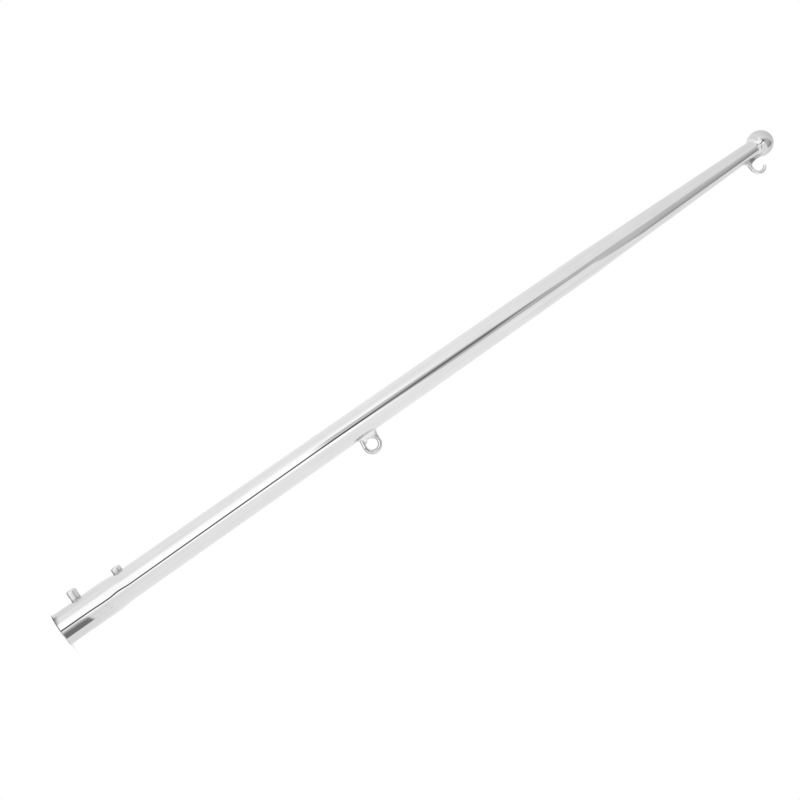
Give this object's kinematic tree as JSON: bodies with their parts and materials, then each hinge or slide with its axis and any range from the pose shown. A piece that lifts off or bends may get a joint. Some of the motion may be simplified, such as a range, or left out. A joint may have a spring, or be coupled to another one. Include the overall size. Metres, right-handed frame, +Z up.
{
  "type": "flagpole",
  "caption": "Boat flagpole in polished stainless steel: tube with a widened socket end and a long taper, ball finial, flag hook, halyard eye and locating pins.",
  "frame": {"origin": "centre of the tube's lower rim, in the plane of the rim", "axes": "+Z up the pole to the ball; +X towards the side with the flag hook and the halyard eye; the locating pins point along -X"},
  "size_m": [0.0529, 0.027, 0.8196],
  "materials": {
    "polished_steel": "mirror-polished stainless steel with faint drawing lines",
    "weld_steel": "stainless weld metal, ground back and polished"
  },
  "bodies": {
    "root": {"pole_tube": "polished_steel", "ball_finial": "polished_steel", "finial_weld": "weld_steel", "flag_hook": "polished_steel", "hook_weld": "weld_steel", "halyard_eye": "polished_steel", "eye_weld": "weld_steel", "lower_pin": "polished_steel", "upper_pin": "polished_steel"}
  },
  "joints": []
}
